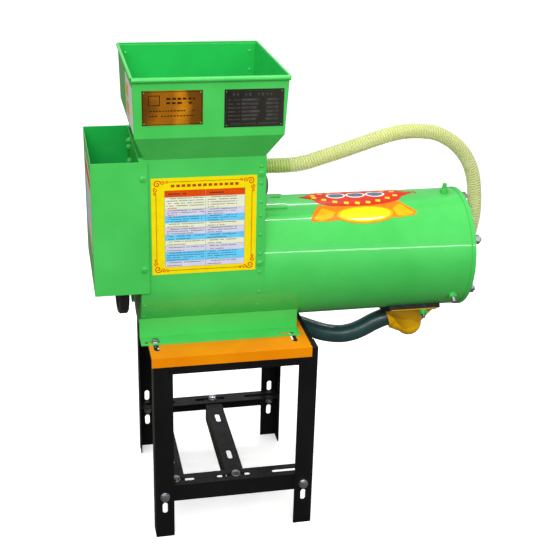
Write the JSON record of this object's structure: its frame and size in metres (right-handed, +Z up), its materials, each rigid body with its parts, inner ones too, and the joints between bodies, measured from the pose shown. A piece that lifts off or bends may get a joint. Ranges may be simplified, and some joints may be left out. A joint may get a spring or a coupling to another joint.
{
  "type": "starch separating machine",
  "caption": "Root crusher with hopper over a riveted trough, a long separating barrel beside it, belt guard, hoses and a slotted angle-iron stand with motor rails",
  "frame": {"origin": "bottom centre of the bounding box, on the floor, measured without the two hoses", "axes": "+X along the barrel away from the crusher, +Y to the back, +Z up"},
  "size_m": [0.866, 0.393, 1.006],
  "materials": {
    "green_paint": "gloss",
    "black_paint": "satin",
    "orange_paint": "gloss",
    "yellow_paint": "gloss",
    "zinc": "zinc plated",
    "perforated_steel": "perforated, plain",
    "bare_steel": "machined",
    "black_iron": "painted black",
    "grey_iron": "as cast",
    "gasket_rubber": "matt",
    "gold_plate": "printed metal",
    "black_plate": "printed metal",
    "clear_pvc": "clear, yellowish",
    "dark_pvc": "glossy"
  },
  "bodies": {
    "frame": {"leg_front_left": "black_paint", "leg_front_right": "black_paint", "leg_back_left": "black_paint", "leg_back_right": "black_paint", "top_rail_front": "black_paint", "top_rail_back": "black_paint", "top_rail_left": "black_paint", "top_rail_right": "black_paint", "lower_bar_front": "black_paint", "lower_bar_back": "black_paint", "stand_bolts": "zinc", "top_plate": "orange_paint", "base_rail_front": "green_paint", "base_rail_back": "green_paint", "base_bolts": "zinc", "crusher_casing": "green_paint", "left_end_plate": "green_paint", "right_end_plate": "green_paint", "casing_rivets": "green_paint", "casing_screws": "green_paint", "feed_chute": "green_paint", "crusher_sieve": "perforated_steel", "inlet_pipe": "green_paint", "drain_elbow": "green_paint", "barrel": "green_paint", "barrel_strap": "green_paint", "separator_sieve": "perforated_steel", "sieve_bolts": "green_paint", "end_cover": "green_paint", "end_cover_bolts": "zinc", "outlet_elbow": "green_paint", "spout_gasket": "gasket_rubber", "outlet_spout": "yellow_paint", "spout_studs": "zinc", "spout_wing_nuts": "green_paint", "hopper_front": "green_paint", "hopper_back": "green_paint", "hopper_left": "green_paint", "hopper_right": "green_paint", "hopper_rivets": "green_paint", "gold_plate": "gold_plate", "black_plate": "black_plate", "belt_guard": "green_paint", "guard_bolts": "green_paint", "bearing_separator_left": "grey_iron", "bearing_separator_right": "grey_iron", "bearing_crusher_left": "grey_iron", "bearing_crusher_right": "grey_iron", "clear_hose": "clear_pvc", "dark_hose": "dark_pvc"},
    "separator_rotor": {"separator_shaft": "bare_steel", "separator_blades": "bare_steel", "feed_paddles": "bare_steel", "separator_pulley": "black_iron"},
    "crusher_rotor": {"crusher_shaft": "bare_steel", "crusher_pulley": "black_iron"},
    "motor_rail_left": {"motor_rail_left": "black_paint", "motor_rail_left_bolts": "zinc"},
    "motor_rail_right": {"motor_rail_right": "black_paint", "motor_rail_right_bolts": "zinc"}
  },
  "joints": [
    {"name": "separator_spin", "type": "hinge", "parent": "frame", "child": "separator_rotor", "pos_m": [0, 0, 0.572], "axis": [1, 0, 0], "continuous": true},
    {"name": "crusher_spin", "type": "hinge", "parent": "frame", "child": "crusher_rotor", "pos_m": [0, 0, 0.735], "axis": [1, 0, 0], "continuous": true},
    {"name": "rail_left_slide", "type": "slide", "parent": "frame", "child": "motor_rail_left", "axis": [1, 0, 0], "range_m": [-0.02, 0.035]},
    {"name": "rail_right_slide", "type": "slide", "parent": "frame", "child": "motor_rail_right", "axis": [1, 0, 0], "range_m": [-0.035, 0.025]}
  ]
}
